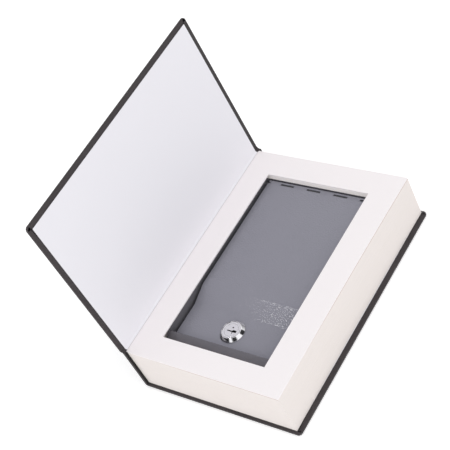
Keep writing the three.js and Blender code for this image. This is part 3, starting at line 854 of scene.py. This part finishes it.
# Zinc parts: stamped and turned steel with bright zinc plate. The strike that the cam turns under
# stands inside the box's front wall, and the lid's hinge rod runs through both side walls, with a
# push-on clip at each end.
def plated(name, light, dark, roughness, cloud):
    """Bright metal with faint cloudy patches and fine scratches."""
    finish = Finish(bpy.data.materials.new(name))
    clouds = grain(finish, cloud, 3.0)
    fine = grain(finish, 0.15 * mm, 3.0, (1, 0.1, 1))
    finish.feed(shader_of(finish)["Base Color"], finish.mix(clouds, dark, light))
    finish.feed(shader_of(finish)["Roughness"], clouds * 0.12 + fine * 0.06 + (roughness - 0.08))
    shader_of(finish)["Metallic"].default_value = 1
    raise_surface(finish, fine, 0.004 * mm)
    return finish.owner


zinc = plated("zinc_plate", (0.62, 0.63, 0.65, 1), (0.5, 0.51, 0.52, 1), 0.36, 3 * mm)


def plated_part(node, body, ease):
    """A zinc-plated copy of a node, with its edges rounded, which takes the node's place."""
    part = eased_copy(node, node + "_plated", ease)
    dress(part, zinc)
    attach(part, body)
    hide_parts(node)


plated_part("lock_strike", "base", 0.2 * mm)
plated_part("hinge_rod", "base", 0.25 * mm)
plated_part("rod_clip_left", "base", 0.1 * mm)
plated_part("rod_clip_right", "base", 0.1 * mm)


# Hinge leaf: a strip of blackened steel under the lid, with three eyes rolled round the rod and
# three tabs that are staked into the lid's slots. Its near-black tone is also painted shade, which
# makes the tabs in the slots read dark.
steel_and_shade_dark = (0.028, 0.028, 0.03, 1)
steel_and_shade_oiled = (0.045, 0.045, 0.047, 1)
black_steel = Finish(bpy.data.materials.new("black_steel"))
oil = grain(black_steel, 4 * mm, 3.0)
steel_tone = black_steel.mix(oil, steel_and_shade_dark, steel_and_shade_oiled)
black_steel.feed(shader_of(black_steel)["Base Color"], steel_tone)
black_steel.feed(shader_of(black_steel)["Roughness"], oil * 0.2 + 0.38)
raise_surface(black_steel, grain(black_steel, 0.3 * mm, 4.0), 0.01 * mm)
leaf = eased_copy("hinge_leaf", "eyed_leaf", 0.15 * mm)
dress(leaf, black_steel.owner)
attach(leaf, "lid")
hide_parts("hinge_leaf")


# Lock barrel: a die-cast cam lock with a polished head, a turned groove round its face and a
# threaded barrel with two flats, which fits the flatted hole in the shelf. Its profile is in
# millimetres from the lock's axis and from the underside of its head.
def turned(name, axis, profile, sides=96):
    """A ring drawn out along a closed profile of (radius, height) points, round an upright axis."""
    radius, height = profile[0]
    bpy.ops.object.select_all(action="DESELECT")
    bpy.ops.mesh.primitive_circle_add(vertices=sides, radius=radius, location=axis)
    piece = bpy.context.object
    piece.name = name
    bpy.ops.object.transform_apply(location=True, rotation=True, scale=True)
    start_work(piece)
    bpy.ops.mesh.select_all(action="SELECT")
    bpy.ops.transform.translate(value=(0, 0, height))
    for (r0, z0), (r1, z1) in zip(profile, profile[1:]):
        bpy.ops.mesh.extrude_edges_move(TRANSFORM_OT_translate={"value": (0, 0, z1 - z0)})
        bpy.ops.transform.resize(value=(r1 / r0, r1 / r0, 1), center_override=axis)
    bpy.ops.mesh.select_all(action="SELECT")
    bpy.ops.mesh.remove_doubles(threshold=0.001 * mm)
    bpy.ops.mesh.normals_make_consistent(inside=False)
    end_work()
    return piece


def hollow_out(piece, *cutters):
    """Cuts the shapes of the cutters out of a piece, and takes the cutters away."""
    for cutter in cutters:
        modify(piece, "BOOLEAN", operation="DIFFERENCE", object=cutter, solver="EXACT")
        bpy.data.objects.remove(cutter)


barrel_low, barrel_high = box("lock_barrel")
head_high = 3.2 * mm
lock_axis = Vector(joint_named("lock_turn")["pos_m"])
lock_axis.z = barrel_high.z - head_high
barrel_foot = (barrel_low.z - lock_axis.z) / mm
bore = 6.45
head_profile = [(bore, 2.6), (bore + 0.01, 2.88), (bore + 0.06, 2.93), (8.0, 2.93), (8.06, 2.88),
                (8.14, 2.5), (8.5, 2.5), (8.56, 3.05), (8.68, 3.16), (8.9, 3.12), (9.15, 2.95),
                (9.7, 2.44), (10.3, 1.87), (10.9, 1.3), (11.45, 0.78), (11.58, 0.6),
                (11.6, 0.45), (11.52, 0.34), (11.1, 0.3), (11.0, 0.0), (9.4, 0.0)]
thread_radius = 9.5
thread_deep = 0.4
thread_step = 0.5
threads_down = []
turn_count = int(-barrel_foot / thread_step) - 1
for number in range(1, turn_count):
    threads_down.append((thread_radius - thread_deep * (number % 2), -number * thread_step))
barrel_profile = [(bore, barrel_foot + 0.3)] + head_profile + threads_down
barrel_profile += [(9.1, barrel_foot + 0.35), (8.8, barrel_foot), (bore + 0.3, barrel_foot),
                   (bore, barrel_foot + 0.3)]
barrel = turned("cam_lock_barrel", lock_axis, [(r * mm, z * mm) for r, z in barrel_profile])
flat = 8 * mm
flats_under = lock_axis.z - 0.1 * mm
for corner in barrel.data.vertices:
    aside = corner.co.y - lock_axis.y
    if corner.co.z < flats_under and abs(aside) > flat:
        corner.co.y = lock_axis.y + math.copysign(flat, aside)
groove = block("groove", lock_axis + Vector((-7.45, -3, -12)) * mm,
               lock_axis + Vector((0, 3, -0.6)) * mm)
hollow_out(barrel, groove)
smooth(barrel, 28)
chrome = plated("chrome", (0.8, 0.795, 0.81, 1), (0.76, 0.755, 0.77, 1), 0.1, 2 * mm)
dress(barrel, chrome)
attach(barrel, "lid")
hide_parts("lock_barrel")


# Lock plug: the turned part that takes the key, with a square tail for the cam, a slot for each
# wafer, a keyway with a wide and a narrow half, and a small drilled mark that shows which way it
# stands. Its face is plated, and the die-cast zinc inside the keyway is left dull and is painted
# near black, as painted shade in the keyway.
plug_low, plug_high = box("lock_plug")
plug_radius = 6.4 * mm
plug_foot = lock_axis.z - 11.2 * mm
plug_edge = 0.04 * mm
tail_half = 3.5 * mm
keyway_round = 0.55 * mm
mark_radius = 0.75 * mm
mark_length = 4 * mm
slot_reach = 7.4 * mm
wafer_play = 0.15 * mm
keyway_shade_light = (0.05, 0.05, 0.052, 1)
keyway_shade_dark = (0.025, 0.025, 0.026, 1)


def in_plug(name, x, y, z):
    """A block between two reaches in each direction from the middle of the plug's face, in mm."""
    middle = Vector((lock_axis.x, lock_axis.y, plug_high.z))
    low, high = (middle + Vector(reach) * mm for reach in zip(x, y, z))
    return block(name, low, high)


bpy.ops.object.select_all(action="DESELECT")
plug_middle = (lock_axis.x, lock_axis.y, (plug_high.z + plug_foot) / 2)
bpy.ops.mesh.primitive_cylinder_add(vertices=96, radius=plug_radius, location=plug_middle,
                                    depth=plug_high.z - plug_foot)
bpy.ops.object.transform_apply(location=True, rotation=True, scale=True)
plug = bpy.context.object
plug.name = "keyed_plug"
start_work(plug)
pick("edges", lambda at, edge: is_sharp(edge))
bpy.ops.mesh.bevel(offset=plug_edge, segments=2, affect="EDGES")
end_work()
tail = block("tail", (lock_axis.x - tail_half, lock_axis.y - tail_half, plug_low.z),
             (lock_axis.x + tail_half, lock_axis.y + tail_half, plug_foot + mm))
modify(plug, "BOOLEAN", operation="UNION", object=tail, solver="EXACT")
bpy.data.objects.remove(tail)
wide_half = in_plug("wide_half", (1.4, 5.5), (-1.85, 0.4), (-4.2, 1))
start_work(wide_half)
pick("edges", lambda at, edge: abs(edge.verts[0].co.z - edge.verts[1].co.z) > mm)
bpy.ops.mesh.bevel(offset=keyway_round, segments=4, affect="EDGES")
end_work()
narrow_half = in_plug("narrow_half", (-3.6, 1.9), (-1.65, -0.6), (-4.2, 1))
key_channel = in_plug("key_channel", (-3.5, 3.5), (-1.0, 0.5), (-13.4, -4))
ward = in_plug("ward", (1.6, 2.3), (-3.3, -1.4), (-2.2, 1))
wafer_slots = []
for number in range(1, 6):
    low, high = box(f"wafer_{number}")
    slot_low = (lock_axis.x - slot_reach, low.y - wafer_play, low.z - wafer_play)
    slot_high = (lock_axis.x + slot_reach, high.y + wafer_play, high.z + wafer_play)
    wafer_slots.append(block("wafer_slot", slot_low, slot_high))
mark_place = lock_axis + Vector((0.44, 2.61, 2.9)) * mm
bpy.ops.mesh.primitive_cylinder_add(vertices=24, radius=mark_radius, depth=mark_length,
                                    location=mark_place)
mark = bpy.context.object
hollow_out(plug, wide_half, narrow_half, key_channel, ward, mark, *wafer_slots)
smooth(plug, 35)
dress(plug, chrome)
# Inside the keyway the zinc is dull, and its near-black tone is painted shade.
dull_zinc = flecked("dull_zinc", keyway_shade_light, keyway_shade_dark, 0.5 * mm, 0.6, 0.01 * mm)
plug.data.materials.append(dull_zinc)
for face in plug.data.polygons:
    aside = (face.center - lock_axis).xy
    in_keyway = aside.length < plug_radius - 0.1 * mm and face.center.z > plug_foot + mm
    face.material_index = int(in_keyway and face.center.z < plug_high.z - 0.02 * mm)
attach(plug, "lock_plug")
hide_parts("lock_plug")


# Lock hardware: the washer and the chamfered nut that hold the barrel, and the cam with its washer
# and hexagon screw. All are stamped or turned steel with bright zinc plate.
plated_part("lock_washer", "lid", 0.12 * mm)
plated_part("lock_nut", "lid", 0.35 * mm)
plated_part("lock_cam", "lock_plug", 0.2 * mm)
plated_part("cam_washer", "lock_plug", 0.12 * mm)
plated_part("cam_screw", "lock_plug", 0.3 * mm)


# Wafers: five stamped brass plates with a slot for the key, each in its own slot of the plug. They
# stand level with the plug while the key is in, and drop into the barrel's groove when it is drawn.
brass = plated("brass", (0.66, 0.49, 0.2, 1), (0.56, 0.4, 0.15, 1), 0.34, 2 * mm)
for number in range(1, 6):
    node = f"wafer_{number}"
    wafer = eased_copy(node, node + "_stamped", 0.08 * mm)
    dress(wafer, brass)
    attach(wafer, node)
    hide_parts(node)
